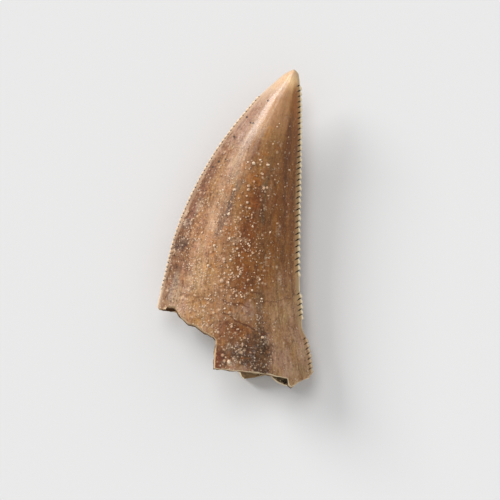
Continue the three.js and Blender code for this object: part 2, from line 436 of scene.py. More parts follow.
def distance_to(outline, x, y):
    """Distance from each point to a line through the outline's corners."""
    nearest = np.full(len(x), np.inf)
    for (x0, y0), (x1, y1) in zip(outline, outline[1:]):
        length = math.dist((x0, y0), (x1, y1))
        along = np.clip(((x - x0) * (x1 - x0) + (y - y0) * (y1 - y0)) / length ** 2, 0, 1)
        nearest = np.minimum(nearest, np.hypot(x - lerp(x0, x1, along), y - lerp(y0, y1, along)))
    return nearest


def write_growth(mesh):
    """Writes where each point lies on the tooth, for the materials to read."""
    x, y, z = coordinates(mesh).T
    across, upper, lower = faces_at(x, y)
    is_upper = z > (front_z(y) + rear_z(y)) / 2
    to_rear = across > 0.5
    rear_number, rear_serrated = slit_numbers(x, y, REAR_ROW)
    front_number, front_serrated = slit_numbers(x, y, FRONT_ROW)
    values = dict(
        across=across, is_upper=is_upper,
        depth=np.minimum(upper - z, z - lower),
        from_front=x - front_x(y), from_rear=rear_x(y) - x,
        rim=np.where(is_upper, distance_to(UPPER_BREAK, x, y), distance_to(LOWER_BREAK, x, y)),
        slit_number=np.where(to_rear, rear_number, front_number),
        serrated=np.where(to_rear, rear_serrated, front_serrated))
    for name, value in values.items():
        mesh.attributes.new(name, "FLOAT", "POINT").data.foreach_set("value", value.astype(np.float32))


def make_crown(enamel, dentine):
    blank = loft("tooth_crown_fossil", crown_section, TIP_Y, BASE_Y, sides=144, rings=400, crowding=1.25)
    push_out(blank, enamel_relief(blank))
    positions = coordinates(blank)
    positions[:, 2] = np.maximum(positions[:, 2], 0)
    move_vertices(blank, positions)
    crown = new_object("tooth_crown_fossil", blank, (enamel, dentine))

    cavity = loft("cavity", cavity_section, CAVITY_TOP_Y, PAST_BASE_Y, sides=72, rings=100, crowding=1.4)
    push_out(cavity, cavity_relief(cavity))
    upper_break = break_cutter(
        "upper_break", UPPER_BREAK, BREAK_Z, CUTTER_ROOF_Z, NEAR_WALL, UPPER_LEAN)
    lower_break = break_cutter(
        "lower_break", LOWER_BREAK, CUTTER_FLOOR_Z, BREAK_Z + CUTTER_LAP, FAR_WALL, LOWER_LEAN)
    hollows = [cavity, upper_break, lower_break]
    for mesh in hollows:
        set_inside(mesh)
    lobes = [serration_mesh("rear_lobes", REAR_ROW), serration_mesh("front_lobes", FRONT_ROW)]
    slits = [slit_cutter("rear_slits", REAR_ROW), slit_cutter("front_slits", FRONT_ROW)]
    helpers = []
    for operation, meshes in (("UNION", lobes), ("DIFFERENCE", slits + hollows)):
        for mesh in meshes:
            helper = new_object(mesh.name, mesh, (enamel, dentine))
            helpers.append(helper)
            combine(crown, helper, operation)
    mesh = settle(crown)
    for helper in helpers:
        bpy.data.objects.remove(helper)
    mesh.polygons.foreach_set("use_smooth", [True] * len(mesh.polygons))
    mesh.set_sharp_from_angle(angle=math.radians(SHARP_ANGLE))
    write_growth(mesh)
    return crown


# ---- Materials ----

class Value:
    """A socket that holds a number, with Math nodes behind its operators."""

    def __init__(self, maker, socket):
        self.maker, self.socket = maker, socket

    def math(self, operation, *others):
        return self.maker.number("ShaderNodeMath", {"operation": operation}, [self, *others])

    def __add__(self, other):
        return self.math("ADD", other)

    __radd__ = __add__

    def __sub__(self, other):
        return self.math("SUBTRACT", other)

    def __rsub__(self, other):
        return (self * -1) + other

    def __mul__(self, other):
        return self.math("MULTIPLY", other)

    __rmul__ = __mul__

    def __truediv__(self, other):
        return self.math("DIVIDE", other)

    def absolute(self):
        return self.math("ABSOLUTE")

    def least(self, other):
        return self.math("MINIMUM", other)

    def most(self, other):
        return self.math("MAXIMUM", other)

    def step(self, start, end):
        """0 up to start, 1 from end on, with a smooth rise between them."""
        return self.maker.number("ShaderNodeMapRange", {"interpolation_type": "SMOOTHSTEP"},
                                 {"Value": self, "From Min": start, "From Max": end})


class Finish:
    """Builds one material's nodes."""

    def __init__(self, name):
        self.material = bpy.data.materials.new(name)
        self.material.use_nodes = True
        self.tree = self.material.node_tree
        self.shader = self.tree.nodes["Principled BSDF"]

    def node(self, kind, settings=None, inputs=()):
        made = self.tree.nodes.new(kind)
        for name, value in (settings or {}).items():
            setattr(made, name, value)
        pairs = inputs.items() if isinstance(inputs, dict) else enumerate(inputs)
        for key, value in pairs:
            if isinstance(value, Value):
                self.tree.links.new(value.socket, made.inputs[key])
            elif isinstance(value, bpy.types.NodeSocket):
                self.tree.links.new(value, made.inputs[key])
            else:
                made.inputs[key].default_value = value
        return made

    def number(self, kind, settings, inputs):
        return Value(self, self.node(kind, settings, inputs).outputs[0])

    def attribute(self, name):
        return Value(self, self.node("ShaderNodeAttribute", {"attribute_name": name}).outputs["Fac"])

    def place_on_object(self):
        """Object coordinates in millimetres, as a vector and as its three numbers."""
        coordinate = self.node("ShaderNodeTexCoord").outputs["Object"]
        scaled = self.node("ShaderNodeVectorMath", {"operation": "SCALE"}, {0: coordinate, "Scale": 1 / MM})
        split = self.node("ShaderNodeSeparateXYZ", {}, [scaled.outputs[0]])
        return scaled.outputs[0], [Value(self, socket) for socket in split.outputs]

    def vector(self, x, y, z):
        return self.node("ShaderNodeCombineXYZ", {}, [x, y, z]).outputs[0]

    def noise(self, at, scale, detail=3.0, roughness=0.55, seed=0.0):
        made = self.node("ShaderNodeTexNoise", {"noise_dimensions": "4D"}, {
            "Vector": at, "W": seed, "Scale": scale, "Detail": detail, "Roughness": roughness})
        return Value(self, made.outputs["Fac"])

    def spots(self, at, scale):
        """Distance to the nearest of many scattered points, and two random numbers of that point."""
        tilted = self.node("ShaderNodeVectorRotate", {"rotation_type": "EULER_XYZ"}, {
            "Vector": at, "Rotation": (0.6, 0.9, 0.5)})
        made = self.node("ShaderNodeTexVoronoi", {}, {"Vector": tilted.outputs[0], "Scale": scale})
        split = self.node("ShaderNodeSeparateXYZ", {}, [made.outputs["Color"]])
        return [Value(self, socket) for socket in (made.outputs["Distance"], *split.outputs[:2])]

    def mix(self, base, other, amount, blend="MIX"):
        made = self.node("ShaderNodeMix", {"data_type": "RGBA", "blend_type": blend, "clamp_factor": True},
                         {0: amount, 6: base, 7: other})
        return made.outputs[2]

    def bump(self, height, distance, strength):
        made = self.node("ShaderNodeBump", {}, {
            "Strength": strength, "Distance": distance * MM, "Height": height})
        return made.outputs["Normal"]

    def set(self, **inputs):
        for name, value in inputs.items():
            key = name.replace("_", " ").title().replace("Ior", "IOR")
            if isinstance(value, (Value, bpy.types.NodeSocket)):
                socket = value.socket if isinstance(value, Value) else value
                self.tree.links.new(socket, self.shader.inputs[key])
            else:
                self.shader.inputs[key].default_value = value
        return self.material


def srgb(red, green, blue):
    """A colour given in 0-255 screen values, as the linear colour the shader takes."""
    def linear(value):
        value /= 255
        return value / 12.92 if value < 0.04045 else ((value + 0.055) / 1.055) ** 2.4
    return (linear(red), linear(green), linear(blue), 1)


def band(value, start, end, soft):
    """1 from start to end, fading to 0 over a soft width on either side."""
    return value.step(start - soft, start) * (1 - value.step(end, end + soft))


class Place:
    """Where a point lies on the crown, as the enamel's colours use it."""

    def __init__(self, finish):
        self.finish = finish
        self.at, (self.x, self.y, self.z) = finish.place_on_object()
        self.across = finish.attribute("across")
        self.from_front, self.from_rear = finish.attribute("from_front"), finish.attribute("from_rear")
        self.drift = finish.noise(self.at, 0.5, 4, 0.6) - 0.5
        self.loose_across = self.across + self.drift * 0.16
        self.loose_y = self.y + self.drift * 3.5
        self.fibres = self.lengthwise(60, 0.55)
        self.strands = self.lengthwise(28, 0.6, 5.0)

    def lengthwise(self, crowd, stretch, seed=0.0):
        """Noise drawn out along the crown's growth lines."""
        growth = self.finish.vector(self.across * crowd + seed, self.y * stretch, self.z * 0.4)
        return self.finish.noise(growth, 1.0, 4, 0.6)

    def patch(self, across, y, reach_across, reach_y):
        """1 around (across, y), fading to 0 at its reach either way."""
        sideways, upwards = (self.loose_across - across) / reach_across, (self.loose_y - y) / reach_y
        return 1 - (sideways * sideways + upwards * upwards).step(0.1, 1)

    def pit(self, x, y, radius):
        """1 in a round pit at (x, y), fading to 0 at its radius."""
        sideways, upwards = (self.x - x) / radius, (self.y - y) / radius
        return 1 - (sideways * sideways + upwards * upwards).step(0.3, 1)

    def crack(self, start, end, wobble, thickness=0.14):
        """A hairline between two (across, y) points."""
        slope = (end[1] - start[1]) / (end[0] - start[0])
        off = (self.y - start[1] - (self.across - start[0]) * slope + wobble).absolute()
        return (1 - off.step(0, thickness)) * band(self.across, start[0], end[0], 0.02)


# Pits in the enamel near the front edge, each painted dark with its shade: (x, y, radius).
PITS = [(3.15, 12.1, 0.13), (1.15, 10.6, 0.14), (1.5, 10.05, 0.12), (1.75, 10.0, 0.11), (-0.05, 8.75, 0.13),
        (-0.85, 6.6, 0.11), (-1.5, 6.4, 0.16), (-2.1, 5.9, 0.1)]
# Cracks in the enamel: (across, y) at either end, and how dark it is.
CRACKS = [((0.155, -6.0), (0.33, -6.55), 0.45), ((0.46, -5.35), (0.71, -6.0), 0.7),
          ((0.46, -6.75), (0.63, -7.15), 0.8), ((0.74, -6.95), (0.92, -6.5), 0.5),
          ((0.47, -7.85), (0.74, -9.9), 0.9), ((0.52, -2.0), (0.66, -2.15), 0.5)]


def enamel_tints(place):
    """The enamel's broad colours as (tint, weight), each laid over those before it."""
    a, y, fibres = place.loose_across, place.loose_y, place.fibres
    return [
        (srgb(162, 118, 78), 1 - a.step(0.38, 0.56)),
        (srgb(132, 86, 46), band(a, 0.66, 0.75, 0.05) * band(y, -1.5, 10, 3)),
        (srgb(168, 126, 86), a.step(0.66, 0.84) * (1 - y.step(-8.5, -1.5))),
        (srgb(150, 108, 66), band(a, 0.36, 0.72, 0.1) * band(y, -9.5, -6.5, 1.5) * 0.6),
        (srgb(130, 88, 60), (1 - a.step(0.09, 0.17)) * (1 - y.step(5, 10))),
        (srgb(188, 154, 126), band(a, 0.08, 0.22, 0.05) * band(y, -7.5, -5.8, 0.8) * 0.35),
        (srgb(178, 144, 112), a.step(0.66, 0.78) * (1 - y.step(-12, -8.5)) * 0.45),
        (srgb(174, 136, 110), band(a, 0.07, 0.3, 0.07) * band(y, 8.5, 12.2, 1.5)),
        (srgb(150, 104, 60), band(a, 0.36, 0.74, 0.1) * y.step(3, 7)),
        (srgb(186, 138, 96), band(a, 0.38, 0.74, 0.1) * y.step(7.5, 11)),
        (srgb(204, 168, 136), (place.y + (a - 0.5) * -2.5).step(11.8, 14.0)),
        (srgb(226, 186, 144), (place.y + (a - 0.5) * -1).step(13.1, 14.5)),
        (srgb(100, 80, 62), band(a, 0.66, 0.685, 0.03) * band(y, 0.8, 6.0, 1.5) * fibres.step(0.4, 0.6)),
        (srgb(118, 98, 88), band(a, 0.35, 0.365, 0.03) * band(y, -0.3, 4.8, 1.5) * fibres.step(0.5, 0.66)),
        (srgb(96, 58, 28), band(a, 0.85, 0.875, 0.025) * band(y, -4.5, 6, 2) * fibres.step(0.4, 0.6) * 0.5),
        (srgb(100, 62, 32), place.patch(0.84, 9.4, 0.05, 2.2) * fibres.step(0.35, 0.6) * 0.7),
        (srgb(110, 58, 20), place.patch(0.58, -0.6, 0.1, 1.8) * 0.6),
        (srgb(116, 62, 22), place.patch(0.62, 2.4, 0.1, 2.2) * 0.5),
        (srgb(116, 64, 24), place.patch(0.47, 7.2, 0.05, 2.5) * 0.5),
        (srgb(120, 68, 28), place.patch(0.6, -4.6, 0.12, 1.2) * 0.5),
        (srgb(132, 88, 50), place.patch(0.43, -1.8, 0.07, 2.4) * 0.6),
        (srgb(96, 80, 72), place.patch(0.07, -1.4, 0.05, 1.0) * 0.6),
        (srgb(100, 80, 74), place.patch(0.085, -5.2, 0.03, 2.0) * 0.5),
        (srgb(116, 100, 92), place.patch(0.07, 0.6, 0.06, 0.6) * 0.5),
        (srgb(112, 86, 66), place.patch(0.71, -7.5, 0.04, 3.0) * 0.6),
        (srgb(116, 60, 20), place.patch(0.5, -9.6, 0.12, 1.2) * 0.6),
        (srgb(84, 48, 30), place.patch(0.41, -11.8, 0.07, 1.7)),
        (srgb(156, 122, 92), place.patch(0.6, -8.0, 0.1, 1.4) * 0.7),
    ]


# Drifts of colour in the enamel: what each multiplies it by, its scale, where its cloud starts and
# is full, and its strength at the front edge, down the middle and at the rear.
DRIFTS = [
    ((0.94, 0.86, 1.08), 0.9, (0.48, 0.58), (0.4, 0.3, 0.3)),
    ((1.04, 1.18, 1.12), 1.1, (0.5, 0.61), (0.6, 0.4, 0.5)),
    ((1.12, 0.92, 0.54), 0.75, (0.5, 0.62), (0.35, 0.85, 0.3)),
    ((0.5, 0.4, 0.3), 1.5, (0.52, 0.67), (0.75, 0.4, 0.35)),
    ((0.45, 0.36, 0.3), 3.2, (0.51, 0.63), (0.75, 0.35, 0.3)),
    ((1.45, 1.7, 2.1), 2.4, (0.5, 0.64), (0.65, 0.35, 0.2)),
    ((1.4, 1.65, 2.0), 5.0, (0.52, 0.62), (0.6, 0.3, 0.2)),
]


def drifting_color(place, color):
    """Lays the drifts over a colour; they thin out on the clean tip."""
    finish, a = place.finish, place.loose_across
    middle, rear = a.step(0.14, 0.4), a.step(0.6, 0.8)
    fading = 1 - place.y.step(7, 13) * 0.7
    for seed, (factor, scale, (start, full), (at_front, at_middle, at_rear)) in enumerate(DRIFTS):
        strength = at_front + middle * (at_middle - at_front) + rear * (at_rear - at_middle)
        cloud = finish.noise(place.at, scale, 3, 0.6, seed + 2.0).step(start, full)
        color = finish.mix(color, (*factor, 1), cloud * strength * fading, "MULTIPLY")
    return color


def dark_patch(place):
    """The dark stain above the lower break, and how much of it shows."""
    finish = place.finish
    cloud = finish.noise(place.at, 1.5, 5, 0.7)
    shade = finish.noise(place.at, 1.7, 4, 0.7, 4.0)
    tint = finish.mix(srgb(80, 54, 34), srgb(116, 98, 90), shade.step(0.54, 0.62))
    tint = finish.mix(tint, srgb(136, 88, 44), (1 - shade.step(0.36, 0.42)) * 0.8)
    tint = finish.mix(tint, srgb(112, 58, 28), place.patch(0.42, -12.4, 0.06, 1.8))
    tint = finish.mix(tint, srgb(166, 128, 98), place.patch(0.55, -12.9, 0.1, 0.8) * 0.8)
    ragged_across, ragged_y = place.loose_across + (cloud - 0.5) * 0.3, place.loose_y + (cloud - 0.5) * 5
    below_line = 1 - (ragged_y - (place.across - 0.5) * 5).step(-11.6, -9.8)
    reach = band(ragged_across, 0.35, 0.73, 0.05) * below_line
    return tint, reach * (0.5 + cloud.step(0.4, 0.5) * 0.5)


def ridge_painted_highlight(place, color):
    """A painted highlight in frosty strokes along the band that runs up beside the front edge, with slate
    streaks on its inner side.
    """
    finish = place.finish
    off = place.from_front - 3.0 + place.y.step(3, 8) * 0.5 + place.drift * 1.2
    fine = finish.noise(place.at, 7, 2, 0.7, 3.0)
    reach = (1 - off.absolute().step(0.3, 1.2)) * band(place.y, -4.5, 8.5, 2.5)
    # Painted highlight: pale strokes where the ridge's sheen fades down the crown.
    painted_highlight = place.strands.step(0.4, 0.62) * 0.32 + fine.step(0.48, 0.62) * 0.32
    color = finish.mix(color, srgb(200, 168, 136), reach * painted_highlight)
    slate = (1 - (off - 1.1).absolute().step(0.1, 0.45)) * band(place.y, 0.4, 4.2, 1.5)
    return finish.mix(color, srgb(98, 80, 70), slate * place.strands.step(0.38, 0.52) * 0.75)


# Dark lines down the crown beside the rear edge: distance from it, lowest and highest y, strength.
REAR_LINES = [(1.45, -4.5, 6.8, 0.4), (0.95, 6.5, 11, 0.3), (2.2, -8.5, -1.5, 0.4), (0.75, -9, 4, 0.35)]
# Smears of pale dust: (across, y, reach across, reach along, strength).
SMEARS = [
    (0.52, -1.0, 0.09, 0.28, 0.5), (0.83, -0.1, 0.025, 0.7, 0.3), (0.745, -2.9, 0.012, 0.6, 0.6),
    (0.85, -4.6, 0.02, 0.8, 0.55), (0.72, 3.7, 0.014, 0.9, 0.3), (0.03, 1.6, 0.014, 0.4, 0.9),
    (0.05, 0.75, 0.012, 0.3, 0.8), (0.1, 0.7, 0.012, 0.3, 0.7), (0.03, -2.1, 0.015, 0.3, 0.9),
    (0.12, 2.2, 0.03, 0.8, 0.4), (0.1, -5.6, 0.04, 1.8, 0.4), (0.74, -10.4, 0.02, 0.5, 0.5),
    (0.5, -12.5, 0.02, 0.3, 0.7), (0.5, -10.9, 0.016, 0.3, 0.5)]


def streaks(place, color, shown):
    """Strands and fibres along the crown, with a few hairlines; shown says how strong they are."""
    finish = place.finish
    cloud = finish.noise(place.at, 1.9, 3, 0.6, 12.0)
    bands = place.lengthwise(15, 0.2, 7.0)
    hairline = 1 - (place.lengthwise(20, 0.11, 9.0) - 0.5).absolute().step(0.002, 0.014)
    hue = place.lengthwise(13, 0.2, 15.0)
    for factor, amount in (
            ((0.6, 0.5, 0.4), bands.step(0.53, 0.68) * 0.5),
            ((1.04, 1.02, 1.3), hue.step(0.5, 0.6) * 0.6),
            ((0.98, 0.98, 0.76), (1 - hue.step(0.4, 0.5)) * 0.6),
            ((0.62, 0.54, 0.44), (1 - place.strands.step(0.34, 0.47)) * 0.6),
            ((1.28, 1.35, 1.42), place.strands.step(0.53, 0.66) * 0.6),
            ((0.66, 0.57, 0.46), (1 - cloud.step(0.36, 0.46)) * 0.5),
            ((1.22, 1.28, 1.34), cloud.step(0.54, 0.64) * 0.5),
            ((1.36, 1.46, 1.54), place.fibres.step(0.52, 0.68) * 0.6),
            ((0.64, 0.54, 0.44), (1 - place.fibres.step(0.32, 0.48)) * 0.65),
            ((0.5, 0.4, 0.3), hairline * cloud.step(0.42, 0.56) * 0.6)):
        color = finish.mix(color, (*factor, 1), amount * shown, "MULTIPLY")
    for inside, low, high, strength in REAR_LINES:
        line = 1 - (place.from_rear - inside + place.drift * 0.9).absolute().step(0.02, 0.17)
        line = line * band(place.y, low, high, 1.5) * place.strands.step(0.34, 0.48) * strength
        color = finish.mix(color, srgb(80, 50, 28), line)
    return color


def smears(place, color):
    """Lays the smears of dust over a colour."""
    finish = place.finish
    fine = finish.noise(place.at, 5, 3, 0.7, 6.0).step(0.4, 0.6)
    amount = 0
    for across, y, sideways, along, strength in SMEARS:
        off_across, off_y = (place.across - across) / sideways, (place.y - y) / along
        off = off_across * off_across + off_y * off_y + (place.strands - 0.5) * 2
        amount = (1 - off.step(0.2, 1.3)) * strength + amount
    return finish.mix(color, srgb(210, 184, 154), amount * fine)


def grit(place, scale, radius, crowd, seed):
    """Soft pale dots of grit on the enamel, in drifts; the crowd is the share of places that hold one."""
    finish = place.finish
    gap, chance, size = finish.spots(place.at, scale)
    drift = finish.noise(place.at, 0.8, 4, 0.65, seed).step(0.4, 0.62) * 1.3 + 0.25
    drift = drift * (place.lengthwise(14, 0.3, seed).step(0.4, 0.6) * 0.8 + 0.6)
    reach = (size * 0.5 + 0.75) * radius
    present = (chance + crowd * drift - 1).step(0, 0.05)
    return (1 - gap.step(reach * 0.3, reach)) * present * (size * 0.6 + 0.4)


def gritty(place, color, shown):
    """Lays pale grit and dark specks over a colour, and says how far they stand proud. The dark specks are
    partly pits and partly painted shadow beside grains.
    """
    finish = place.finish
    sandy = band(place.loose_across, 0.25, 0.68, 0.15) * (1 - place.y.step(-9, 3))
    frosty = 1 - place.loose_across.step(0.3, 0.55)
    dust = grit(place, 2.6, 0.46, sandy * 0.22 + frosty * 0.26 + 0.12, 31.0) * shown
    stained = band(place.across, 0.37, 0.68, 0.04) * (1 - place.y.step(-11.4, -10.2))
    salt = grit(place, 4.6, 0.5, sandy * 0.2 + frosty * 0.3 + stained * 0.25 + 0.16, 37.0) * shown
    color = finish.mix(color, srgb(214, 176, 142), dust * 0.82)
    color = finish.mix(color, srgb(226, 196, 168), salt * 0.85)
    # Dark specks: partly pits, and partly painted shadow that stands in for the shade beside grains.
    gap, chance, _ = finish.spots(place.at, 3.1)
    flecks_and_painted_shadow = (1 - gap.step(0.12, 0.45)) * (chance + frosty * 0.1 - 0.85).step(0, 0.04) * shown
    return finish.mix(color, srgb(78, 50, 32), flecks_and_painted_shadow * 0.45), (dust + salt) * 1.2 - flecks_and_painted_shadow * 0.6


def slit_shade_and_dirt(place, edge, rear):
    """1 in the slits between the serrations, painted dark for their shade and dirt; some are nearly filled
    and less dark.
    """
    finish = place.finish
    number, serrated = finish.attribute("slit_number"), finish.attribute("serrated")
    off = ((number + 0.5).math("FRACT") - 0.5).absolute()
    filled = finish.noise(place.at, 1.6, 2, 0.5, 9.0).step(0.38, 0.56)
    near_tip = place.y.step(5, 9)
    start = rear * (near_tip * 0.06 - 0.02)
    deep = rear * (0.24 - near_tip * 0.08) + 0.09
    reach = edge.step(start - 0.08, start) * (1 - edge.step(deep, deep + 0.14))
    width = (1 - filled) * 0.03 + 0.05
    line = 1 - off.step(width, width + 0.1)
    return line * serrated * reach * (filled * 0.65 + 0.35) * (rear * 0.5 + 0.5)


def rims_and_painted_glow(place, color, grain):
    """Pale worn bands along the breaks and the two cutting edges, and the slits in the edges. The cutting
    edges are pale partly in their own colour and partly from a painted glow of light through the thin
    enamel; the slits are painted dark for their shade and dirt.
    """
    finish, y = place.finish, place.y
    rim = finish.attribute("rim") + (grain - 0.5) * 0.2
    color = finish.mix(color, srgb(214, 184, 146), (1 - rim.step(0.05, 0.22)) * 0.75)
    edge, rear = place.from_front.least(place.from_rear), place.across.step(0.4, 0.6)
    worn = (1 - y.step(-7, 0)) * (1 - rear) * 0.75 - y.step(4, 9) * rear * 0.35
    ragged = edge / (rear * 0.65 + 0.35 + worn) + (place.strands - 0.5) * 0.25
    whole = 1 - (1 - y.step(-10.5, -8.5)) * rear * 0.6
    # Painted glow of light through the thin front edge, over its own pale wear.
    front_rim = place.from_front / (0.55 + (place.strands - 0.5) * 1.2)
    color = finish.mix(color, srgb(212, 182, 152), (1 - front_rim.step(0, 1)) * 0.75)
    color = finish.mix(color, srgb(192, 162, 118), (1 - ragged.step(0.2, 0.55)) * rear * 0.7 * whole)
    # The lobes are cream, and are lightened towards white at the rear by a painted glow of light through
    # them.
    lobe = finish.mix(srgb(230, 204, 174), srgb(248, 232, 196), rear)
    color = finish.mix(color, lobe, (1 - ragged.step(-0.05, 0.15)) * whole)
    return finish.mix(color, srgb(50, 34, 16), slit_shade_and_dirt(place, edge, rear) * whole * 0.92)


def enamel_corrections(place):
    """Broad changes to the enamel's colour once its grain is on, as (factor, weight); the one beside the
    rear edge near the tip is painted light.
    """
    a, y = place.loose_across, place.y
    return [
        ((1.04, 1.0, 0.9), (1 - y.step(3, 10)) * y.step(-9, -2)),
        ((0.88, 0.82, 0.8), (1 - a.step(0.16, 0.34)) * band(y, -3, 10, 3)),
        ((1.12, 1.17, 1.2), a.step(0.65, 0.88) * band(y, -8, -1, 1.5)),
        ((1.08, 0.98, 0.76), a.step(0.5, 1) * band(y, 9, 12, 1.5)),
        ((1.3, 1.3, 1.2), a.step(0.45, 0.65) * band(y, 13.6, 13.7, 1.1)),
        # Painted light: lightens the strip beside the rear edge near the tip, which faces away from the
        # lamps and lies in shade.
        ((1.32, 1.36, 1.2), (1 - place.from_rear.step(0.7, 1.3)) * band(y, 10.8, 13.4, 1.4)),
        ((1.08, 0.9, 0.66), place.patch(0.42, -12.2, 0.12, 2.4)),
    ]


def with_cracks(place, color, upper):
    """Lays the cracks over a colour, on the upper face alone."""
    finish = place.finish
    wobble = (finish.noise(place.at, 0.9, 3, 0.5) - 0.5) * 1.2
    for start, end, strength in CRACKS:
        color = finish.mix(color, srgb(96, 50, 20), place.crack(start, end, wobble) * strength * upper)
    return color


def with_pit_shade(place, color, upper):
    """Paints the shade in the pits as dark spots over a colour, on the upper face alone."""
    pits = 0
    for x, y, radius in PITS:
        pits = place.pit(x, y, radius) + pits
    return place.finish.mix(color, srgb(40, 28, 20), pits * upper * 0.85)


def enamel_finish():
    finish = Finish("fossil_enamel")
    place = Place(finish)
    y = place.y
    grain = finish.noise(place.at, 6, 3, 0.7)
    tip = y.step(3.5, 12)
    rough_part = 1 - tip * 0.55
    upper = finish.attribute("is_upper")

    color = srgb(134, 82, 34)
    for tint, weight in enamel_tints(place):
        color = finish.mix(color, tint, weight)
    color = drifting_color(place, color)
    stain, stain_reach = dark_patch(place)
    color = finish.mix(color, stain, stain_reach)
    color = ridge_painted_highlight(place, color)
    color = streaks(place, color, rough_part)
    color = finish.mix(color, srgb(206, 170, 134), grain.step(0.54, 0.72) * 0.52 * rough_part)
    color = finish.mix(color, srgb(84, 52, 28), (1 - grain.step(0.3, 0.45)) * 0.42 * rough_part)

    for factor, weight in enamel_corrections(place):
        color = finish.mix(color, (*factor, 1), weight, "MULTIPLY")
    color = with_cracks(place, color, upper)
    color = smears(place, color)
    color, lumps = gritty(place, color, 1 - tip * 0.8)
    color = rims_and_painted_glow(place, color, grain)
    color = with_pit_shade(place, color, upper)

    height = place.fibres * 0.8 * (1 - tip * 0.6) + grain * 0.6 * (1 - tip) + lumps
    flank = place.across.step(0.6, 0.85)
    dull_base = (1 - y.step(-12, -5)) * place.across.step(0.6, 0.8)
    roughness = 0.5 - tip * (0.24 - flank * 0.2) + dull_base * 0.2
    return finish.set(
        base_color=color, roughness=roughness, specular_ior_level=0.3,
        coat_weight=tip * (0.32 - flank * 0.27) + 0.06, coat_roughness=0.18,
        normal=finish.bump(height, distance=0.06, strength=0.9))


def dentine_finish():
    """Pale where the wall is broken through, and dark with crumbs of sand inside the cavity, with painted
    shade under the near wall and in the rear of the hollow.
    """
    finish = Finish("broken_dentine")
    at, (x, y, _) = finish.place_on_object()
    depth, rim, upper = (finish.attribute(name) for name in ("depth", "rim", "is_upper"))
    cloud = finish.noise(at, 1.6, 4, 0.65)
    grain = finish.noise(at, 6, 3, 0.6)
    rear = x.step(2.8, 3.6)
    wall = (1 - upper) * 0.5 + 0.1
    pale = finish.mix(srgb(238, 218, 184), srgb(206, 176, 138), y.step(-13.2, -12.8))
    color = finish.mix(pale, srgb(196, 162, 118), (depth - wall).step(0, 0.4))
    # Painted shade: the far wall's inner face darkens away from its broken rim, under the near wall, and the
    # rear of the hollow is painted near black.
    inside = finish.mix(srgb(104, 68, 38), srgb(48, 28, 10), rim.step(0.1, 0.45) * (1 - upper))
    inside = finish.mix(inside, srgb(42, 34, 14), rear)
    color = finish.mix(color, inside, (depth - wall).step(0.35, 0.55).most(rim.step(0.4, 0.8)))
    stripe = (1 - rim.step(0.08, 0.22)) * x.step(1.2, 2.0) * (1 - rear)
    color = finish.mix(color, srgb(158, 134, 98), stripe * 0.7)
    dark = cloud.step(0.44, 0.6) * depth.step(0.5, 0.9) * (rear * 0.6 + 0.4)
    color = finish.mix(color, srgb(36, 28, 14), dark)
    gap, chance, _ = finish.spots(at, 3.4)
    crumbs = (1 - gap.step(0.12, 0.34)) * (chance + rear * 0.2 - 0.84).step(0, 0.06)
    color = finish.mix(color, srgb(206, 188, 146), crumbs * 0.8)
    height = cloud + grain * 0.5 + crumbs
    return finish.set(
        base_color=color, roughness=0.8, specular_ior_level=0.2,
        normal=finish.bump(height, distance=0.1, strength=0.8))


def sand_finish():
    finish = Finish("pale_sand")
    at, _ = finish.place_on_object()
    _, chance, _ = finish.spots(at, 2.2)
    color = finish.mix(srgb(206, 170, 138), srgb(232, 206, 178), chance.step(0.5, 0.55))
    color = finish.mix(color, srgb(186, 148, 116), chance.step(0.78, 0.82))
    return finish.set(base_color=color, roughness=0.75, specular_ior_level=0.25)


def table_finish():
    finish = Finish("pale_table")
    return finish.set(base_color=(0.8, 0.8, 0.8, 1), roughness=0.9)


# ---- Sand grains ----

# The largest grains: (x, y, radius).
BIG_GRAINS = [
    (-4.35, 1.65, 0.17), (-4.8, 0.85, 0.15), (-4.0, 0.85, 0.12), (-3.2, 0.6, 0.12), (-5.85, -2.1, 0.16),
    (-5.75, -2.35, 0.12), (1.8, 6.2, 0.17), (2.4, 6.05, 0.12), (3.1, 6.05, 0.16), (2.1, 5.0, 0.12),
    (1.3, 4.05, 0.16), (1.3, 3.7, 0.17), (2.75, 3.85, 0.14), (1.15, 3.1, 0.13), (1.2, 2.5, 0.15),
    (1.4, 1.95, 0.12), (-0.05, 3.7, 0.13), (-0.5, 1.4, 0.17), (-0.8, 0.5, 0.18), (5.0, 2.35, 0.14),
    (-1.25, -0.2, 0.11), (-0.45, -0.85, 0.15), (-0.05, -1.4, 0.13), (1.05, -1.2, 0.15), (1.4, -1.55, 0.11),
    (-1.0, -2.8, 0.16), (-0.35, -2.85, 0.17), (0.3, -3.55, 0.12), (-0.2, -4.1, 0.12), (-1.2, -4.85, 0.2),
    (1.25, -4.75, 0.15), (-0.4, -6.25, 0.15), (-2.45, -3.4, 0.14), (-0.45, -7.8, 0.19), (2.6, -10.15, 0.16),
    (-0.5, -12.4, 0.19), (3.7, -9.5, 0.14)]


# The other grains lie in clusters, most of them close to a line down the middle of the crown.
CLUSTERS_ON_TOP, CLUSTERS_BELOW = 150, 90
CLUSTER_SIZES = (1, 1, 2, 3, 6)
CLUSTER_SPREAD = (0.15, 0.4)
SAND_LOW_Y, SAND_HIGH_Y, SAND_THICKEST_Y = -14.6, 10.5, 0
# That line is nearest the front edge at its bend, and moves across to the other value within a reach.
BEND_Y, BEND_REACH, BEND_ACROSS, FAR_ACROSS = -2, 8, 0.44, 0.57
SHARE_ON_LINE, LINE_SPREAD = 0.75, 0.13
CLEAR_OF_EDGES = 0.03
# Above this height clusters get rarer, until there are none that much higher.
RARE_SAND_Y, RARE_SAND_REACH = 2, 12
SMALLEST_GRAIN, GRAIN_GROWTH = 0.045, 0.09
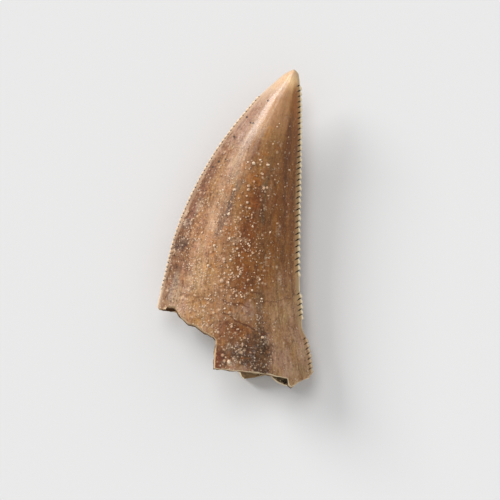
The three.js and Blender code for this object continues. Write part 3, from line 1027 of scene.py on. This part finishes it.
# A grain is a ball that is stretched and dented by chance, and stands proud by a share of its radius.
GRAIN_STRETCH, GRAIN_DENTS = (0.75, 1.3), (0.75, 1.15)
GRAIN_LIFT = 0.25
SAND_SEED = 11
CLEAR_OF_CROWN = 20
NEAR_FACE = 0.3


def add_grain(bm, rng, foot, normal, radius):
    shape = Matrix.Diagonal([rng.uniform(*GRAIN_STRETCH) for _ in range(3)] + [1])
    turn = Euler([rng.uniform(0, math.tau) for _ in range(3)]).to_matrix().to_4x4()
    centre = foot + normal * radius * GRAIN_LIFT * MM
    matrix = Matrix.Translation(centre) @ turn @ shape
    made = bmesh.ops.create_icosphere(bm, subdivisions=1, radius=radius * MM, matrix=matrix)
    for vert in made["verts"]:
        vert.co = centre + (vert.co - centre) * rng.uniform(*GRAIN_DENTS)


def scattered_grains(rng, clusters):
    """Random (x, y, radius) in this many clusters."""
    grains = []
    while clusters > 0:
        y = rng.triangular(SAND_LOW_Y, SAND_HIGH_Y, SAND_THICKEST_Y)
        middle = lerp(BEND_ACROSS, FAR_ACROSS, min(abs(y - BEND_Y) / BEND_REACH, 1))
        across = rng.gauss(middle, LINE_SPREAD) if rng.random() < SHARE_ON_LINE else rng.random()
        if not CLEAR_OF_EDGES < across < 1 - CLEAR_OF_EDGES:
            continue
        if rng.random() < (y - RARE_SAND_Y) / RARE_SAND_REACH:
            continue
        clusters -= 1
        x = float(lerp(front_x(y), rear_x(y), across))
        spread = rng.uniform(*CLUSTER_SPREAD)
        for _ in range(rng.choice(CLUSTER_SIZES)):
            foot = x + rng.gauss(0, spread), y + rng.gauss(0, spread)
            grains.append((*foot, SMALLEST_GRAIN + GRAIN_GROWTH * rng.random() ** 2))
    return grains


def make_sand(crown, material):
    """Drops the grains onto the crown from above, and sticks some to its far face from below."""
    rng = random.Random(SAND_SEED)
    mesh = crown.data
    surface = BVHTree.FromPolygons(
        [vert.co for vert in mesh.vertices], [face.vertices for face in mesh.polygons])
    bm = bmesh.new()
    on_top = BIG_GRAINS + scattered_grains(rng, CLUSTERS_ON_TOP)
    below = scattered_grains(rng, CLUSTERS_BELOW)
    for side, grains in ((1, on_top), (-1, below)):
        for x, y, radius in grains:
            _, upper, lower = faces_at(np.array([x]), np.array([y]))
            start = Vector((x * MM, y * MM, side * CLEAR_OF_CROWN * MM))
            foot, normal, _, _ = surface.ray_cast(start, Vector((0, 0, -side)))
            face_z = float(upper[0] if side > 0 else lower[0])
            if foot and abs(foot.z / MM - face_z) < NEAR_FACE:
                add_grain(bm, rng, foot, normal, radius)
    for vert in bm.verts:
        vert.co.z = max(vert.co.z, 0)
    return new_object("sand_grains", finish_mesh(bm, "sand_grains"), (material,))


# ---- Scene ----

# The crown's length, in millimetres and in the view's pixels, and how many pixels wide the view is.
CROWN_LENGTH, CROWN_PIXELS, VIEW_PIXELS = 30, 316, 500
VIEW_WIDTH = VIEW_PIXELS * (CROWN_LENGTH / CROWN_PIXELS)
VIEW_CENTRE = Vector((1.45, -1.95, 3.5))
LENS = 180
TABLE_HALF_WIDTH = 600


def make_table(material):
    bm = bmesh.new()
    bmesh.ops.create_grid(bm, x_segments=1, y_segments=1, size=TABLE_HALF_WIDTH * MM)
    table = new_object("table", finish_mesh(bm, "table"), (material,))


def make_camera():
    """Looks straight down; a long lens keeps the perspective slight."""
    data = bpy.data.cameras.new("camera")
    data.lens = LENS
    data.clip_start = 0.01
    camera = bpy.data.objects.new("camera", data)
    bpy.context.scene.collection.objects.link(camera)
    distance = VIEW_WIDTH * data.lens / data.sensor_width
    camera.location = (VIEW_CENTRE + Vector((0, 0, distance))) * MM
    bpy.context.scene.camera = camera


def sun(name, azimuth, height, strength, softness):
    """Distant light from an azimuth (0 is +X, 90 is +Y) and a height above the table, in degrees."""
    data = bpy.data.lights.new(name, "SUN")
    data.energy = strength
    data.angle = math.radians(softness)
    lamp = bpy.data.objects.new(name, data)
    bpy.context.scene.collection.objects.link(lamp)
    turn, rise = math.radians(azimuth), math.radians(height)
    towards = Vector((math.cos(turn) * math.cos(rise), math.sin(turn) * math.cos(rise), math.sin(rise)))
    lamp.rotation_euler = towards.to_track_quat("Z", "Y").to_euler()


def make_light():
    sun("window", azimuth=143, height=28, strength=1.9, softness=24)
    sun("softbox", azimuth=108, height=62, strength=0.85, softness=26)
    scene = bpy.context.scene
    scene.world = bpy.data.worlds.new("studio")
    scene.world.use_nodes = True
    background = scene.world.node_tree.nodes["Background"]
    background.inputs["Color"].default_value = (1, 1, 1, 1)
    background.inputs["Strength"].default_value = 0.5
    scene.view_settings.view_transform = "Standard"


crown = make_crown(enamel_finish(), dentine_finish())
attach(crown, "root")
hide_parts(CAD_NODE)

sand = make_sand(crown, sand_finish())
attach(sand, "root")

make_table(table_finish())
make_camera()
make_light()
